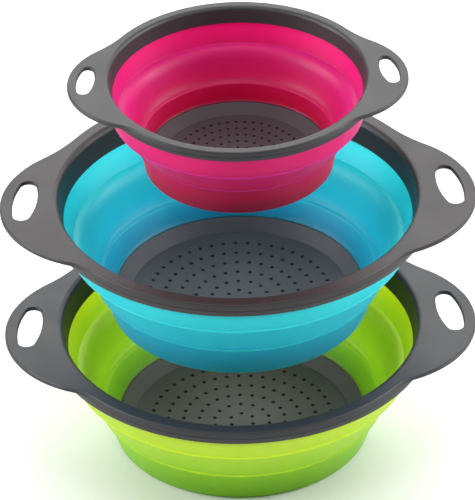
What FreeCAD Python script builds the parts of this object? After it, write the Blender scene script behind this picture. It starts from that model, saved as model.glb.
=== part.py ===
import FreeCAD, Part
import Sketcher
import math
import os

# A set of three collapsible strainer bowls, shown one above another: two large
# bowls and a small one on top. Every bowl is a stiff rim frame with two flat ears
# to hold it by, a soft stepped wall that folds flat, and a stiff perforated base.
#
# Frame: millimetres, +Z up, X through the ears, origin on the floor under the
# middle of the lowest bowl. Each bowl is drawn with z = 0 at the top of its rim,
# so depths below are positive numbers measured down from the rim.

# --- driving dimensions: name, large bowl, small bowl ------------------------
BOWL_SIZES = [
    ("rim_outer", 145.0, 102.6),       # outer radius of the rim
    ("rim_inner", 133.0, 94.6),        # inner radius of the rim's top face
    ("rim_depth", 10.4, 8.0),          # rim top to the underside of the clamp ring
    ("rim_top", 2.8, 2.0),             # thickness of the rim's top face and outer skirt
    ("seam_depth", 5.6, 4.2),          # foot of the outer skirt, at the joint line
    ("mouth_round", 4.6, 3.2),         # rounding of the rim's inner edge
    ("collar_skin", 2.5, 1.8),         # thickness of the frame's collar
    ("collar_radius", 129.2, 91.6),    # inner radius at the foot of the frame's collar
    ("collar_depth", 18.0, 12.0),      # foot of the frame's collar
    ("tongue", 2.2, 1.4),              # thickness of the clamp ring's tongue
    ("ledge_skin", 2.0, 1.4),          # thickness of the clamp ring's inner ledge
    ("upper_radius", 122.3, 88.2),     # inner radius at the foot of the upper band
    ("upper_depth", 36.8, 29.4),       # foot of the upper band
    ("middle_radius", 105.3, 73.8),    # inner radius at the foot of the middle band
    ("middle_depth", 66.5, 51.0),      # foot of the middle band
    ("border_radius", 91.0, 65.6),     # where the soft wall meets the stiff base
    ("border_depth", 81.2, 65.2),
    ("floor_radius", 80.5, 55.0),      # edge of the dished strainer plate
    ("floor_depth", 88.6, 70.2),       # the strainer plate's edge
    ("dish_depth", 92.4, 72.0),        # the middle of the strainer plate
    ("foot_radius", 94.8, 68.8),       # outer radius of the foot the bowl stands on
    ("height", 95.2, 74.8),            # rim top to floor
    ("handle_tip", 176.0, 124.8),      # middle of the bowl to the tip of an ear
    ("handle_round", 81.0, 59.0),      # radius of an ear's outline
    ("handle_lean", 7.0, 5.5),         # middle of that round, in front of the bowl's middle
    ("front_blend", 42.0, 30.0),       # hollow curve between rim and ear, in front
    ("back_blend", 120.0, 90.0),       # hollow curve between rim and ear, behind
    ("grip_centre", 157.2, 111.2),     # middle of the finger slot, to the side
    ("grip_back", 2.0, 1.5),           # and behind the bowl's middle
    ("grip_half_width", 8.8, 6.5),
    ("grip_half_length", 25.5, 17.9),
    ("grip_bow", 80.0, 48.0),          # radius of the slot's bowed long sides
    ("hole_radius", 1.55, 1.15),
    ("hole_ring", 67.7, 47.0),         # radius of the outermost ring of holes
    ("hole_pitch", 11.7, 8.1),         # step from one ring of holes to the next
]
HOLES_IN_RING = [46, 38, 30, 22, 14, 6]

# --- dimensions that all three bowls share: name, value -----------------------
SHARED_SIZES = [
    ("soft_skin", 2.4),         # thickness of the soft wall
    ("fold_lip", 4.1),          # thickness of a band where it meets a fold
    ("handle_skin", 2.8),       # thickness of an ear
    ("plate_skin", 2.6),        # thickness of the stiff base
    ("grip_turn", 9.0),         # degrees that a slot's front end is turned outwards
    ("fold_gap", 0.4),          # play between bands that fold past each other
    ("fit_gap", 0.1),           # play between pieces that stay together
    ("plug_gap", 0.3),          # play round the clamp ring's tongue
    ("seam_gap", 0.5),          # open joint line under the rim's skirt
    ("edge_round", 1.2),        # rounding of the frame's outer edges
    ("clamp_top_inset", 0.3),   # how far the clamp ring stands back from the skirt
    ("clamp_foot_inset", 1.0),
    ("seat_step", 1.0),         # step where the soft wall laps over the stiff base
    ("foot_width", 4.2),        # width of the soft foot under the base
    ("foot_round", 1.0),        # bevel of the foot
    ("large_lift", 113.4),      # rim to rim, lowest bowl to middle bowl
    ("small_lift", 103.6),      # rim to rim, middle bowl to top bowl
    ("small_shift", 1.6),       # the top bowl's middle, right of the others
]

BOWLS = [("green", "large"), ("blue", "large"), ("pink", "small")]
RIM_LEVELS = {
    "green": "Sizes.height_large",
    "blue": "Sizes.height_large + Sizes.large_lift",
    "pink": "Sizes.height_large + Sizes.large_lift + Sizes.small_lift",
}
SIDE_SHIFTS = {"pink": "Sizes.small_shift"}

doc = FreeCAD.newDocument("strainer_bowls")
sheet = doc.addObject("Spreadsheet::Sheet", "Sizes")


def fill_sheet():
    rows = [(name + "_large", large) for name, large, _ in BOWL_SIZES]
    rows += [(name + "_small", small) for name, _, small in BOWL_SIZES]
    rows += SHARED_SIZES
    for number, (alias, value) in enumerate(rows, start=1):
        sheet.set(f"A{number}", alias)
        sheet.set(f"B{number}", str(value))
        sheet.setAlias(f"B{number}", alias)
    doc.recompute()


fill_sheet()


def value_of(expression):
    """The number that an expression over the sheet's cells gives now."""
    result = sheet.evalExpression(expression.replace("Sizes.", ""))
    return float(getattr(result, "Value", result))


# --- sketching ----------------------------------------------------------------
def new_body(label, level, shift):
    body = doc.addObject("PartDesign::Body", label)
    body.Label = label
    body.setExpression("Placement.Base.z", level)
    if shift:
        body.setExpression("Placement.Base.x", shift)
    return body


def new_sketch(body, plane, name):
    sketch = body.newObject("Sketcher::SketchObject", name)
    sketch.AttachmentSupport = [(origin_plane(body, plane), "")]
    sketch.MapMode = "FlatFace"
    return sketch


def origin_plane(body, role):
    return next(f for f in body.Origin.OriginFeatures if f.Role == role)


def bind(sketch, index, expression):
    sketch.setExpression(f"Constraints[{index}]", expression)


def fix_point(sketch, edge, end, point):
    """Dimension one end of an edge from the sketch's origin."""
    for kind, expression in zip(("DistanceX", "DistanceY"), point, strict=True):
        constraint = Sketcher.Constraint(kind, -1, 1, edge, end, value_of(expression))
        bind(sketch, sketch.addConstraint(constraint), expression)


def arc_between(start, end, radius, left):
    """The shorter arc of the given radius; left puts its centre left of start-end."""
    chord = end.sub(start)
    rise = math.sqrt(radius**2 - (chord.Length / 2) ** 2)
    side = 1 if left else -1
    normal = FreeCAD.Vector(-chord.y, chord.x, 0).normalize() * (rise * side)
    centre = (start + end) * 0.5 + normal
    first, last = (start, end) if left else (end, start)
    angles = [math.atan2(p.y - centre.y, p.x - centre.x) for p in (first, last)]
    circle = Part.Circle(centre, FreeCAD.Vector(0, 0, 1), radius)
    return Part.ArcOfCircle(circle, angles[0], angles[1])


def draw_outline(sketch, corners, arcs=None):
    """A closed outline through corners, each a pair of expressions.

    arcs maps the number of an edge to (radius expression, centre on the left)."""
    arcs = arcs or {}
    points = [FreeCAD.Vector(value_of(x), value_of(y), 0) for x, y in corners]
    starts = []
    edges = []
    for number, start in enumerate(points):
        end = points[(number + 1) % len(points)]
        if number in arcs:
            radius, left = arcs[number]
            edge = sketch.addGeometry(arc_between(start, end, value_of(radius), left))
            constraint = Sketcher.Constraint("Radius", edge, value_of(radius))
            bind(sketch, sketch.addConstraint(constraint), radius)
            starts.append(1 if left else 2)
        else:
            edge = sketch.addGeometry(Part.LineSegment(start, end))
            starts.append(1)
        edges.append(edge)
    for number, edge in enumerate(edges):
        following = (number + 1) % len(edges)
        meet = Sketcher.Constraint(
            "Coincident", edge, 3 - starts[number], edges[following], starts[following]
        )
        sketch.addConstraint(meet)
        fix_point(sketch, edge, starts[number], corners[number])


def revolve(body, corners, arcs=None):
    sketch = new_sketch(body, "XZ_Plane", body.Label + "_section")
    draw_outline(sketch, corners, arcs)
    ring = body.newObject("PartDesign::Revolution", body.Label + "_ring")
    ring.Profile = sketch
    ring.ReferenceAxis = (sketch, ["V_Axis"])
    ring.Angle = 360
    doc.recompute()


def must_shrink(body, before):
    if not body.Shape.Volume < before - 1:
        raise RuntimeError(body.Label + ": a cut removed nothing")


# --- the pieces of one bowl ----------------------------------------------------
class Bowl:
    """Expressions for one bowl's dimensions, by name: bowl("rim_outer")."""

    def __init__(self, colour, size):
        self.colour = colour
        self.size = size
        self.level = RIM_LEVELS[colour]

    def __call__(self, name):
        return f"Sizes.{name}_{self.size}"

    def body(self, name):
        return new_body(f"{self.colour}_{name}", self.level, SIDE_SHIFTS.get(self.colour))


def down(depth):
    return f"-({depth})"


def blend_centre(bowl, edge):
    """Middle of the hollow curve that touches both the rim and the ear's round, at
    the front (edge -1) or the back (edge 1), in the plane of the right ear."""
    rim, ear, lean = bowl("rim_outer"), bowl("handle_round"), bowl("handle_lean")
    blend = bowl("front_blend") if edge < 0 else bowl("back_blend")
    middle = f"({bowl('handle_tip')} - {ear})"
    apart = f"sqrt({middle}^2 + {lean}^2)"
    along = f"((({rim} + {blend})^2 - ({ear} + {blend})^2 + {apart}^2) / (2 * {apart}))"
    aside = f"({edge} * sqrt(({rim} + {blend})^2 - {along}^2))"
    x = f"(({along} * {middle} + {aside} * {lean}) / {apart})"
    y = f"(({aside} * {middle} - {along} * {lean}) / {apart})"
    return blend, x, y


def handle_corners(bowl, side):
    """Plan of one ear: a round end, two hollow curves and the stretch under the rim."""
    rim, ear, lean = bowl("rim_outer"), bowl("handle_round"), bowl("handle_lean")
    middle = f"({bowl('handle_tip')} - {ear})"
    edges = []
    for edge in (-1, 1):
        blend, x, y = blend_centre(bowl, edge)
        on_rim = f"({rim} / ({rim} + {blend}))"
        on_ear = f"({ear} / ({ear} + {blend}))"
        root = f"(({rim} - {bowl('rim_top')} / 2) / ({rim} + {blend}))"
        edges.append([
            (f"{side} * {x} * {root}", f"{y} * {root}"),
            (f"{side} * {x} * {on_rim}", f"{y} * {on_rim}"),
            (f"{side} * ({middle} + ({x} - {middle}) * {on_ear})",
             f"-{lean} + ({y} + {lean}) * {on_ear}"),
        ])
    front, back = edges
    return front + back[::-1]


def handle_arcs(bowl, side):
    right = side > 0
    return {
        1: (bowl("front_blend"), not right),
        2: (bowl("handle_round"), right),
        3: (bowl("back_blend"), not right),
        5: (f"{bowl('rim_outer')} - {bowl('rim_top')} / 2", not right),
    }


def grip_end(bowl):
    """Radius of the round end that runs smoothly into the slot's bowed sides, and how far
    the middle of that round is from the slot's middle."""
    bow, half, reach = bowl("grip_bow"), bowl("grip_half_width"), bowl("grip_half_length")
    away = f"((({bow} - {half})^2 - ({bow} - {reach})^2) / (2 * ({bow} - {reach})))"
    return f"({reach} - {away})", away


def grip_corners(bowl, side):
    """Plan of one finger slot: bowed sides and round ends, turned a little."""
    bow, half = bowl("grip_bow"), bowl("grip_half_width")
    end, away = grip_end(bowl)
    share = f"({bow} / ({bow} - {end}))"
    x, y = f"(({bow} - {half}) * ({share} - 1))", f"({away} * {share})"
    cosine, sine = "cos(Sizes.grip_turn * 1 deg)", "sin(Sizes.grip_turn * 1 deg)"
    return [
        (f"{side} * ({bowl('grip_centre')} + {right} * {x} * {cosine} - {back} * {y} * {sine})",
         f"{bowl('grip_back')} + {right} * {x} * {sine} + {back} * {y} * {cosine}")
        for right, back in ((1, -1), (1, 1), (-1, 1), (-1, -1))
    ]


def grip_arcs(bowl, side):
    rounds = (bowl("grip_bow"), grip_end(bowl)[0])
    return {edge: (rounds[edge % 2], side > 0) for edge in range(4)}


def handle_frame(bowl):
    """The stiff rim moulding: top face, outer skirt, inner collar and two slotted ears."""
    outer, inner, collar = bowl("rim_outer"), bowl("rim_inner"), bowl("collar_radius")
    top, skin = bowl("rim_top"), bowl("collar_skin")
    skirt = f"{outer} - {top}"
    body = bowl.body("handle_frame")
    revolve(body, [
        (inner, "0"),
        (outer, "0"),
        (outer, down(bowl("seam_depth"))),
        (skirt, down(bowl("seam_depth"))),
        (skirt, down(top)),
        (f"{inner} + {skin}", down(top)),
        (f"{collar} + {skin}", down(bowl("collar_depth"))),
        (collar, down(bowl("collar_depth"))),
    ])

    plan = new_sketch(body, "XY_Plane", body.Label + "_ears")
    for side in (1, -1):
        draw_outline(plan, handle_corners(bowl, side), handle_arcs(bowl, side))
    ears = body.newObject("PartDesign::Pad", body.Label + "_ear_pad")
    ears.Profile = plan
    ears.Reversed = True
    ears.setExpression("Length", "Sizes.handle_skin")
    doc.recompute()

    whole = body.Shape.Volume
    slots = new_sketch(body, "XY_Plane", body.Label + "_slots")
    for side in (1, -1):
        draw_outline(slots, grip_corners(bowl, side), grip_arcs(bowl, side))
    cut = body.newObject("PartDesign::Pocket", body.Label + "_slot_cut")
    cut.Profile = slots
    cut.setExpression("Length", "2 * Sizes.handle_skin")
    cut.Midplane = True
    doc.recompute()
    must_shrink(body, whole)

    mouth, halfway = value_of(inner), value_of(f"({inner} + {outer}) / 2")
    round_edges(body, "mouth", bowl("mouth_round"), lambda r: abs(r - mouth) < 0.01)
    round_edges(body, "top", "Sizes.edge_round", lambda r: r > halfway)
    return body


def round_edges(body, name, radius, wanted):
    """Fillet the edges in the rim's top plane whose middle lies at a wanted radius."""
    base = body.Tip
    names = []
    for number, edge in enumerate(base.Shape.Edges, start=1):
        box = edge.BoundBox
        first, last = edge.ParameterRange
        middle = edge.valueAt((first + last) / 2)
        flat = abs(box.ZMin) < 1e-6 and abs(box.ZMax) < 1e-6
        if flat and wanted(math.hypot(middle.x, middle.y)):
            names.append(f"Edge{number}")
    fillet = body.newObject("PartDesign::Fillet", f"{body.Label}_{name}_round")
    fillet.Base = (base, names)
    fillet.setExpression("Radius", radius)
    doc.recompute()


def wall_outside(bowl, depth):
    """Outer radius of the soft wall beside the collar, at a depth."""
    slope = (
        f"(({bowl('rim_inner')} - {bowl('collar_radius')})"
        f" / ({bowl('collar_depth')} - {bowl('rim_top')}))"
    )
    foot = f"({bowl('collar_radius')} + {bowl('collar_skin')} + Sizes.fit_gap + Sizes.soft_skin)"
    return f"({foot} + ({bowl('collar_depth')} - ({depth})) * {slope})"


def clamp_ring(bowl):
    """Closes the rim from below; its tongue plugs into the frame's channel."""
    outer, foot = bowl("rim_outer"), bowl("rim_depth")
    tongue_out = f"{outer} - {bowl('rim_top')} - Sizes.plug_gap"
    tongue_in = f"{tongue_out} - {bowl('tongue')}"
    tongue_top = f"{bowl('rim_top')} + Sizes.plug_gap"
    ledge = f"{foot} - {bowl('ledge_skin')}"
    seam = f"{bowl('seam_depth')} + Sizes.seam_gap"
    inside = f"{wall_outside(bowl, ledge)} + Sizes.plug_gap"
    body = bowl.body("clamp_ring")
    revolve(body, [
        (inside, down(foot)),
        (f"{outer} - Sizes.clamp_foot_inset", down(foot)),
        (f"{outer} - Sizes.clamp_top_inset", down(seam)),
        (tongue_out, down(seam)),
        (tongue_out, down(tongue_top)),
        (tongue_in, down(tongue_top)),
        (tongue_in, down(ledge)),
        (inside, down(ledge)),
    ])
    return body


def upper_band(bowl):
    """Top step of the soft wall: held by its flange between frame and clamp ring."""
    collar_foot, lip = bowl("collar_depth"), bowl("upper_depth")
    flange_top = f"{bowl('seam_depth')} - Sizes.fit_gap"
    flange_foot = f"{bowl('rim_depth')} - {bowl('ledge_skin')} - Sizes.fit_gap"
    reach = f"{bowl('rim_outer')} - {bowl('rim_top')} - {bowl('tongue')} - 2 * Sizes.plug_gap"
    body = bowl.body("upper_band")
    revolve(body, [
        (f"{wall_outside(bowl, flange_top)} - Sizes.soft_skin", down(flange_top)),
        (reach, down(flange_top)),
        (reach, down(flange_foot)),
        (wall_outside(bowl, flange_foot), down(flange_foot)),
        (wall_outside(bowl, collar_foot), down(collar_foot)),
        (f"{bowl('upper_radius')} + Sizes.fold_lip", down(lip)),
        (bowl("upper_radius"), down(lip)),
        (f"{wall_outside(bowl, collar_foot)} - Sizes.soft_skin", down(collar_foot)),
    ])
    return body


def middle_band(bowl):
    """The step that turns inside out when the bowl is pressed flat."""
    top = f"{bowl('upper_depth')} + Sizes.fold_gap"
    outer_top = f"{bowl('upper_radius')} - Sizes.fold_gap"
    outer_foot = f"{bowl('middle_radius')} + Sizes.soft_skin"
    body = bowl.body("middle_band")
    revolve(body, [
        (f"{outer_top} - Sizes.fold_lip", down(top)),
        (outer_top, down(top)),
        (outer_foot, down(bowl("middle_depth"))),
        (bowl("middle_radius"), down(bowl("middle_depth"))),
    ])
    return body


def lower_band(bowl):
    """Bottom step of the soft wall: grips the stiff base and ends in the foot."""
    top = f"{bowl('middle_depth')} + 2 * Sizes.fold_gap"
    outer_top = f"{bowl('middle_radius')} - Sizes.fold_gap"
    seat = f"{base_seat(bowl)} + Sizes.fit_gap"
    seat_top = f"{bowl('border_depth')} - Sizes.fit_gap"
    under = f"{bowl('floor_depth')} + Sizes.plate_skin + Sizes.fit_gap"
    foot_in = f"{bowl('foot_radius')} - Sizes.foot_width"
    body = bowl.body("lower_band")
    revolve(body, [
        (f"{outer_top} - Sizes.fold_lip", down(top)),
        (outer_top, down(top)),
        (f"{bowl('foot_radius')} + Sizes.foot_round", down(f"{bowl('height')} - Sizes.foot_round")),
        (bowl("foot_radius"), down(bowl("height"))),
        (foot_in, down(bowl("height"))),
        (foot_in, down(under)),
        (seat, down(under)),
        (seat, down(seat_top)),
        (bowl("border_radius"), down(seat_top)),
    ])
    return body


def base_seat(bowl):
    """Outer radius of the stiff base, inside the soft foot."""
    return f"{bowl('border_radius')} + Sizes.seat_step"


def base_ring(bowl):
    """The stiff base's sloping border, from the soft wall down to the strainer plate."""
    inside = f"{bowl('floor_radius')} + Sizes.fit_gap"
    under = f"{bowl('floor_depth')} + Sizes.plate_skin"
    body = bowl.body("base_ring")
    revolve(body, [
        (bowl("border_radius"), down(bowl("border_depth"))),
        (base_seat(bowl), down(bowl("border_depth"))),
        (base_seat(bowl), down(under)),
        (inside, down(under)),
        (inside, down(bowl("floor_depth"))),
        (f"{inside} + Sizes.fold_gap", down(bowl("floor_depth"))),
    ])
    return body


def strainer_plate(bowl):
    """The shallow dish with its rings of round holes; each ring has a hole at the back."""
    edge, middle, skin = bowl("floor_depth"), bowl("dish_depth"), "Sizes.plate_skin"
    disc = f"({bowl('floor_radius')} - Sizes.fit_gap)"
    sag = f"({middle} - {edge})"
    bend = f"({disc}^2 + {sag}^2) / (2 * {sag})"
    body = bowl.body("strainer_plate")
    revolve(body, [
        ("0", down(middle)),
        (disc, down(edge)),
        (disc, down(f"{edge} + {skin}")),
        ("0", down(f"{middle} + {skin}")),
    ], {0: (bend, True), 2: (bend, False)})
    for ring, count in enumerate(HOLES_IN_RING):
        whole = body.Shape.Volume
        sketch = new_sketch(body, "XY_Plane", f"{body.Label}_hole_{ring}")
        place = f"{bowl('hole_ring')} - {ring} * {bowl('hole_pitch')}"
        centre = FreeCAD.Vector(0, value_of(place), 0)
        hole = sketch.addGeometry(
            Part.Circle(centre, FreeCAD.Vector(0, 0, 1), value_of(bowl("hole_radius")))
        )
        size = Sketcher.Constraint("Radius", hole, value_of(bowl("hole_radius")))
        bind(sketch, sketch.addConstraint(size), bowl("hole_radius"))
        fix_point(sketch, hole, 3, ("0", place))
        cut = body.newObject("PartDesign::Pocket", f"{body.Label}_cut_{ring}")
        cut.Profile = sketch
        cut.setExpression("Length", bowl("height"))
        pattern = body.newObject("PartDesign::PolarPattern", f"{body.Label}_ring_{ring}")
        pattern.Originals = [cut]
        pattern.Axis = (sketch, ["N_Axis"])
        pattern.Angle = 360
        pattern.Occurrences = count
        body.Tip = pattern
        doc.recompute()
        must_shrink(body, whole)
    return body


PIECES = [handle_frame, clamp_ring, upper_band, middle_band, lower_band, base_ring, strainer_plate]


def check_document():
    for item in doc.Objects:
        if "Invalid" in item.State or "Error" in item.State:
            raise RuntimeError(f"{item.Label} failed: {item.State}")


def main():
    bodies = [make(Bowl(*which)) for which in BOWLS for make in PIECES]
    doc.recompute()
    check_document()
    os.makedirs("parts", exist_ok=True)
    for body in bodies:
        shape = body.Shape
        if shape.isNull() or not shape.isValid() or len(shape.Solids) != 1:
            raise RuntimeError(body.Label + " isn't one valid solid")
        shape.exportStep(f"parts/{body.Label}.step")
        box = shape.BoundBox
        print(f"{body.Label}: {shape.Volume / 1000:.1f} cm3, z {box.ZMin:.2f} to {box.ZMax:.2f}")


main()
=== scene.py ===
import math

import bpy
from mathutils import Matrix, Vector


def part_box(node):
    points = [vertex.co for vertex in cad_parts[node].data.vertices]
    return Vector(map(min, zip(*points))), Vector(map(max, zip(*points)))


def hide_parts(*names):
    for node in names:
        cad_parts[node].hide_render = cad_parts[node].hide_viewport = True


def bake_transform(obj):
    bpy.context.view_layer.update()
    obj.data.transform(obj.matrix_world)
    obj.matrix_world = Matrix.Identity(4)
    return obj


# A set of three collapsible strainer bowls, one above another: green, blue and pink.
# Lengths are in metres unless a name or comment says millimetres. The bowls' places come
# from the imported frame.

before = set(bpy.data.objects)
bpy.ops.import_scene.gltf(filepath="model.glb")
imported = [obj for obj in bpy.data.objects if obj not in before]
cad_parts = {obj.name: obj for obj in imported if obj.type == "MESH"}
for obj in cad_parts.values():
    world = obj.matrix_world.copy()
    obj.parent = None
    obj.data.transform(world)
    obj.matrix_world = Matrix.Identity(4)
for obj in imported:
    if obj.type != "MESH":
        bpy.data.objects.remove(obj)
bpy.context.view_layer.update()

MM = 0.001
BOWLS = ("green", "blue", "pink")

# --- how finely the soft walls are drawn ----------------------------------------
AROUND = 240                # faces round a bowl
ALONG = 2.4 * MM            # longest face down a wall
ARC_STEPS = 6               # faces round a moulded corner


# --- mesh helpers -------------------------------------------------------------
def corner_arc(before, corner, after, reach_in, reach_out):
    """Points of a smooth curve that replaces one corner of a section."""
    first = corner + (before - corner).normalized() * reach_in
    last = corner + (after - corner).normalized() * reach_out
    points = []
    for step in range(ARC_STEPS + 1):
        t = step / ARC_STEPS
        points.append(first * (1 - t) ** 2 + corner * (2 * t * (1 - t)) + last * t**2)
    return points


def section_points(corners):
    """A closed section from (radius, height) corners. A rounded corner also has the reach of
    its rounding, or one reach before the corner and another after it."""
    places = [Vector(corner[:2]) for corner in corners]
    points = []
    for number, (_, _, *reach) in enumerate(corners):
        before, after = places[number - 1], places[(number + 1) % len(places)]
        if reach:
            points += corner_arc(before, places[number], after, reach[0], reach[-1])
        else:
            points.append(places[number])
    filled = []
    for number, point in enumerate(points):
        following = points[(number + 1) % len(points)]
        steps = max(1, math.ceil((following - point).length / ALONG))
        filled += [point.lerp(following, step / steps) for step in range(steps)]
    return filled


def lathe(name, corners, middle):
    """A ring with the given closed section, about the vertical line through (middle, 0)."""
    section = section_points(corners)
    count = len(section)
    vertices = []
    for turn in range(AROUND):
        angle = math.tau * turn / AROUND
        vertices += [(middle + p.x * math.cos(angle), p.x * math.sin(angle), p.y) for p in section]
    faces = []
    for turn in range(AROUND):
        here, there = turn * count, (turn + 1) % AROUND * count
        for row in range(count):
            below = (row + 1) % count
            faces.append((here + row, here + below, there + below, there + row))
    mesh = bpy.data.meshes.new(name)
    mesh.from_pydata(vertices, [], faces)
    mesh.validate()
    mesh.shade_smooth()
    piece = bpy.data.objects.new(name, mesh)
    bpy.context.scene.collection.objects.link(piece)
    normals = piece.modifiers.new("even_shading", "WEIGHTED_NORMAL")
    normals.keep_sharp = True
    return piece


# --- materials ----------------------------------------------------------------
# The mix node's sockets for its share and its colours
MIX_SHARE, MIX_FIRST, MIX_SECOND, MIX_RESULT = 0, 6, 7, 2

RIM_ROUGHNESS = 0.46
BASE_ROUGHNESS = 0.6
PLASTIC_IOR = 1.49
SILICONE_IOR = 1.41


def colour(red, green, blue):
    """A screen colour from 0 to 255 as the linear colour that a shader takes."""
    def linear(value):
        value /= 255
        return value / 12.92 if value <= 0.04045 else ((value + 0.055) / 1.055) ** 2.4

    return linear(red), linear(green), linear(blue), 1.0


class Shader:
    """A new material with its node tree, and short calls to add nodes to it."""

    def __init__(self, name):
        self.material = bpy.data.materials.new(name)
        self.material.use_nodes = True
        self.tree = self.material.node_tree
        self.surface = self.tree.nodes["Principled BSDF"]

    def node(self, kind, **settings):
        made = self.tree.nodes.new(kind)
        for key, value in settings.items():
            setattr(made, key, value)
        return made

    def link(self, source, target):
        self.tree.links.new(source, target)

    def place(self):
        return self.node("ShaderNodeTexCoord").outputs["Object"]

    def height(self):
        """From 0 at the lowest point of the piece to 1 at its highest."""
        split = self.node("ShaderNodeSeparateXYZ")
        self.link(self.node("ShaderNodeTexCoord").outputs["Generated"], split.inputs[0])
        return split.outputs["Z"]

    def noise(self, scale, detail=3.0):
        """Soft noise with the given number of waves per metre."""
        made = self.node("ShaderNodeTexNoise")
        made.inputs["Scale"].default_value = scale
        made.inputs["Detail"].default_value = detail
        self.link(self.place(), made.inputs["Vector"])
        return made.outputs["Fac"]

    def ramp(self, source, low, high, start=0.3, end=0.7):
        """Goes smoothly from low to high while the source goes from start to end."""
        made = self.node("ShaderNodeMapRange", interpolation_type="SMOOTHSTEP")
        made.inputs["From Min"].default_value = start
        made.inputs["From Max"].default_value = end
        made.inputs["To Min"].default_value = low
        made.inputs["To Max"].default_value = high
        self.link(source, made.inputs["Value"])
        return made.outputs["Result"]

    def mix(self, share, first, second):
        made = self.node("ShaderNodeMix", data_type="RGBA")
        for number, value in ((MIX_FIRST, first), (MIX_SECOND, second)):
            if isinstance(value, tuple):
                made.inputs[number].default_value = value
            else:
                self.link(value, made.inputs[number])
        self.link(share, made.inputs[MIX_SHARE])
        return made.outputs[MIX_RESULT]

    def bump(self, height, depth, strength):
        made = self.node("ShaderNodeBump")
        made.inputs["Strength"].default_value = strength
        made.inputs["Distance"].default_value = depth
        self.link(height, made.inputs["Height"])
        return made.outputs["Normal"]

    def set(self, **values):
        for key, value in values.items():
            socket = self.surface.inputs[key.replace("_", " ")]
            if isinstance(value, bpy.types.NodeSocket):
                self.link(value, socket)
            else:
                socket.default_value = value


def moulded_plastic(name, light, dark, roughness):
    """Satin polypropylene: a fine moulded grain with slow changes of tone and gloss."""
    shader = Shader(name)
    tone = shader.ramp(shader.noise(scale=18.0), low=0.0, high=1.0)
    gloss = shader.ramp(shader.noise(scale=30.0), low=roughness - 0.02, high=roughness + 0.03)
    grain = shader.bump(shader.noise(scale=2600.0, detail=2.0), depth=0.06 * MM, strength=0.5)
    shader.set(Base_Color=shader.mix(tone, light, dark), Roughness=gloss, Normal=grain)
    shader.set(IOR=PLASTIC_IOR, Specular_IOR_Level=0.5)
    return shader.material


def silicone(name, light, dark, painted_foot_shade, glow):
    """Soft silicone rubber: light goes into it and through it. Its colour carries a painted shade
    that darkens it towards the foot, and its skin is satin with a fine grain."""
    shader = Shader(name)
    tone = shader.ramp(shader.noise(scale=14.0), low=0.0, high=1.0)
    gloss = shader.ramp(shader.noise(scale=70.0, detail=4.0), low=0.4, high=0.48)
    grain = shader.bump(shader.noise(scale=1900.0, detail=2.0), depth=0.05 * MM, strength=0.4)
    # painted shade: the colour darkens towards the foot of the wall, standing in for the shade on
    # the lower bands
    above = shader.ramp(shader.height(), low=0.0, high=1.0, start=-0.05, end=0.8)
    shade = shader.mix(above, painted_foot_shade, shader.mix(tone, light, dark))
    shader.set(Base_Color=shade, Roughness=gloss, Normal=grain)
    shader.set(Subsurface_Weight=1.0, Subsurface_Scale=14 * MM, Subsurface_Radius=glow)
    shader.set(Sheen_Weight=0.03, Sheen_Roughness=0.4)
    shader.set(IOR=SILICONE_IOR, Specular_IOR_Level=0.3)
    return shader.material


RIM = {
    "green": moulded_plastic("rim_green", colour(38, 38, 42), colour(35, 35, 39), RIM_ROUGHNESS),
    "blue": moulded_plastic("rim_blue", colour(42, 37, 38), colour(39, 34, 35), RIM_ROUGHNESS),
    "pink": moulded_plastic("rim_pink", colour(42, 41, 43), colour(39, 38, 40), RIM_ROUGHNESS),
}
BASE = {
    "green": moulded_plastic("base_green", colour(78, 79, 78), colour(73, 75, 73), BASE_ROUGHNESS),
    "blue": moulded_plastic("base_blue", colour(76, 77, 82), colour(71, 72, 77), BASE_ROUGHNESS),
    "pink": moulded_plastic("base_pink", colour(68, 61, 66), colour(63, 56, 61), BASE_ROUGHNESS),
}
# The third colour of each silicone is a painted shade, a darker colour used towards the foot of
# the wall
SOFT = {
    "green": silicone(
        "silicone_green",
        light=colour(178, 214, 42),
        dark=colour(172, 208, 37),
        painted_foot_shade=colour(112, 176, 18),
        glow=(1.0, 1.0, 0.25),
    ),
    "blue": silicone(
        "silicone_blue",
        light=colour(32, 186, 196),
        dark=colour(28, 180, 190),
        painted_foot_shade=colour(14, 140, 178),
        glow=(0.4, 1.0, 1.0),
    ),
    "pink": silicone(
        "silicone_pink",
        light=colour(190, 20, 112),
        dark=colour(182, 18, 106),
        painted_foot_shade=colour(160, 8, 50),
        glow=(1.0, 0.25, 0.6),
    ),
}


def dress(node, material):
    """Gives a carried-over piece its material."""
    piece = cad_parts[node]
    piece.data.materials.clear()
    piece.data.materials.append(material)


# --- the soft walls -----------------------------------------------------------
SAME_HEIGHT = 0.02 * MM     # points of one corner differ by less than this
FLANGE_EDGE = 1 * MM        # how near the flange's edge its lower corner is
LARGE_WALL = 0.115          # outer radius of a middle band whose ledges have their full rounding


class Ring:
    """Heights and radii of one round piece, read from its box and its own points."""

    def __init__(self, node):
        low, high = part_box(node)
        self.middle = (low.x + high.x) / 2
        self.foot, self.top, self.out = low.z, high.z, high.y
        self.points = [
            (math.hypot(v.co.x - self.middle, v.co.y), v.co.z)
            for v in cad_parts[node].data.vertices
        ]

    def radii(self, height):
        """Inner and outer radius of the piece at one of its section's corners."""
        near = [r for r, z in self.points if abs(z - height) < SAME_HEIGHT]
        return min(near), max(near)


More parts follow.
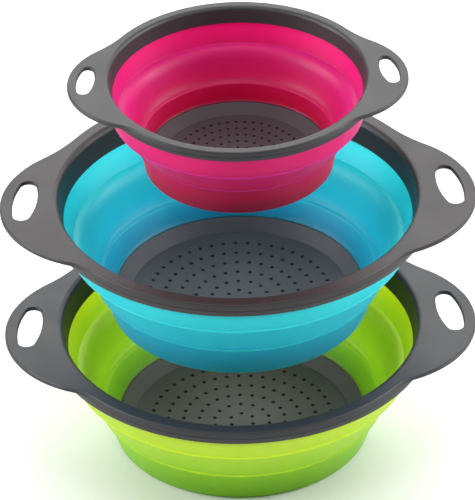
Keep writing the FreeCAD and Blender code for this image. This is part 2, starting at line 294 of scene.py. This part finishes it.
def soft_wall(bowl):
    """One moulding: flange, three stepped bands with two folds, and the foot round the base."""
    frame_ring, upper = Ring(f"{bowl}_handle_frame"), Ring(f"{bowl}_upper_band")
    middle, lower = Ring(f"{bowl}_middle_band"), Ring(f"{bowl}_lower_band")
    base = Ring(f"{bowl}_base_ring")
    flange_in, flange_out = upper.radii(upper.top)
    collar_in, collar_out = upper.radii(frame_ring.foot)
    upper_in, upper_out = upper.radii(upper.foot)
    middle_in, middle_out = middle.radii(middle.foot)
    lower_in, lower_out = lower.radii(lower.top)
    foot_in, foot_out = lower.radii(lower.foot)
    border_in, border_out = base.radii(base.top)
    skin = middle_out - middle_in
    small = min(1.0, middle.out / LARGE_WALL)
    flange_foot = max(
        z for r, z in upper.points if z < upper.top - FLANGE_EDGE and r > flange_out - FLANGE_EDGE
    )
    flange_root = upper.radii(flange_foot)[0]
    # Each corner of the section: a radius of the bands and how far out from it, a height and
    # how far up from it, and the reach of the rounding; only what is added is in millimetres.
    corners = [
        # inside, from the flange down to the base
        (flange_in, 0, upper.top, 0),
        (collar_in, 0, frame_ring.foot, 0, 4),
        (upper_in, 0, upper.foot + skin, 0, 0.5),
        (middle.out, -6.2, upper.foot, 0.9, 5, 10 * small),
        (middle_in, -0.5, middle.foot, 1.9, 9 * small, 3),
        (lower_in, -0.2, lower.top, 0.6, 0.8),
        (border_in, 1.8, base.top, 1.2, 3.5, 1.6),
        (border_in, 0, base.top, 0.1),
        # round the stiff base to the foot
        (border_out, 0.1, base.top, 0.1),
        (border_out, 0.1, base.foot, -0.1),
        (foot_in, 0, base.foot, -0.1),
        (foot_in, 0, lower.foot, 0, 0.5),
        (foot_out, -0.4, lower.foot, 0, 0.9, 0.7),
        (foot_out, 0.9, lower.foot, 1, 0.8),
        # outside, back up to the flange; each band ends in a small outward lip
        (lower_out, -0.3, lower.top, -0.4, 1.2, 0.8),
        (lower_out, 0.4, middle.foot, 0.1, 0.6),
        (middle_out, 0.5, middle.foot, -0.1, 0.5),
        (middle_out, 0.3, middle.foot, 1.8, 1, 2),
        (middle.out, -0.3, middle.top, -0.6, 1.2, 0.5),
        (middle.out, 0.2, upper.foot, 0.1, 0.4),
        (upper_out, 0.4, upper.foot, 0, 0.5),
        (upper_out, 0.1, upper.foot, 2, 1, 2),
        (collar_out, 0, frame_ring.foot, 0, 4),
        (flange_root, 0, flange_foot, 0, 0.4),
        (flange_out, 0, flange_foot, 0),
        (flange_out, 0, upper.top, 0),
    ]
    section = [
        (radius + out * MM, height + up * MM, *(reach * MM for reach in reaches))
        for radius, out, height, up, *reaches in corners
    ]
    wall = lathe(f"{bowl}_soft_wall", section, base.middle)
    wall.data.materials.append(SOFT[bowl])
    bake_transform(wall)
    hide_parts(f"{bowl}_upper_band", f"{bowl}_middle_band", f"{bowl}_lower_band")


for bowl in BOWLS:
    soft_wall(bowl)
    dress(f"{bowl}_handle_frame", RIM[bowl])
    dress(f"{bowl}_clamp_ring", RIM[bowl])
    dress(f"{bowl}_base_ring", BASE[bowl])
    dress(f"{bowl}_strainer_plate", BASE[bowl])


# --- floor, light and camera ----------------------------------------------------
FLOOR_HALF = 6.0            # half the floor's width
FLOOR_DROP = 0.2 * MM       # how far the floor is below the lowest foot
FLOOR_LIGHT = (0.8, 0.8, 0.8, 1)
FLOOR_DARK = (0.78, 0.78, 0.78, 1)

LIT_POINT = (0, 0, 0.16)
SOFTBOXES = {
    # name: place, width, height, power in watts
    "left_softbox": ((-1.9, 0.0, 1.2), 1.5, 1.3, 54),
    "right_softbox": ((1.9, 0.1, 1.25), 1.5, 1.3, 54),
    "back_softbox": ((0.3, 2.1, 1.5), 3.0, 1.6, 52),
    "top_softbox": ((0.0, -0.5, 2.7), 1.7, 1.4, 22),
}
WORLD_COLOUR = (0.95, 0.97, 1.0, 1)
WORLD_STRENGTH = 0.3

CAMERA_AZIMUTH = math.radians(1.949)
CAMERA_ELEVATION = math.radians(34.186)
CAMERA_ROLL = math.radians(1.145)
CAMERA_AIM = Vector((-0.0009, 0, 0.15857))
CAMERA_DISTANCE = 5.0
CAMERA_END = 100
LENS_MM = 484.6
SENSOR_MM = 36


def floor():
    mesh = bpy.data.meshes.new("floor")
    half = FLOOR_HALF
    corners = [(-half, -half, 0), (half, -half, 0), (half, half, 0), (-half, half, 0)]
    mesh.from_pydata(corners, [], [(0, 1, 2, 3)])
    made = bpy.data.objects.new("floor", mesh)
    made.location.z = -FLOOR_DROP
    bpy.context.scene.collection.objects.link(made)
    shader = Shader("floor")
    tone = shader.ramp(shader.noise(scale=3.0), low=0.0, high=1.0)
    shader.set(Base_Color=shader.mix(tone, FLOOR_LIGHT, FLOOR_DARK), Roughness=0.5, IOR=1.6)
    mesh.materials.append(shader.material)


def softbox(name, place, width, height, power):
    """A rectangular light that faces the middle of the set."""
    light = bpy.data.lights.new(name, "AREA")
    light.shape = "RECTANGLE"
    light.size, light.size_y = width, height
    light.energy = power
    made = bpy.data.objects.new(name, light)
    made.location = place
    made.rotation_euler = (Vector(LIT_POINT) - Vector(place)).to_track_quat("-Z", "Y").to_euler()
    bpy.context.scene.collection.objects.link(made)


def studio():
    for name, settings in SOFTBOXES.items():
        softbox(name, *settings)
    world = bpy.data.worlds.new("studio")
    world.use_nodes = True
    background = world.node_tree.nodes["Background"]
    background.inputs["Color"].default_value = WORLD_COLOUR
    background.inputs["Strength"].default_value = WORLD_STRENGTH
    bpy.context.scene.world = world
    bpy.context.scene.view_settings.view_transform = "Standard"


def camera():
    """A long lens, a little left of the front and 34 degrees up, rolled by one degree."""
    back = Vector((
        -math.sin(CAMERA_AZIMUTH) * math.cos(CAMERA_ELEVATION),
        -math.cos(CAMERA_AZIMUTH) * math.cos(CAMERA_ELEVATION),
        math.sin(CAMERA_ELEVATION),
    ))
    data = bpy.data.cameras.new("camera")
    data.lens = LENS_MM
    data.sensor_width = SENSOR_MM
    data.clip_end = CAMERA_END
    made = bpy.data.objects.new("camera", data)
    place = Matrix.Translation(CAMERA_AIM + back * CAMERA_DISTANCE)
    turn = (-back).to_track_quat("-Z", "Y").to_matrix().to_4x4()
    made.matrix_world = place @ turn @ Matrix.Rotation(-CAMERA_ROLL, 4, "Z")
    bpy.context.scene.collection.objects.link(made)
    bpy.context.scene.camera = made


floor()
studio()
camera()
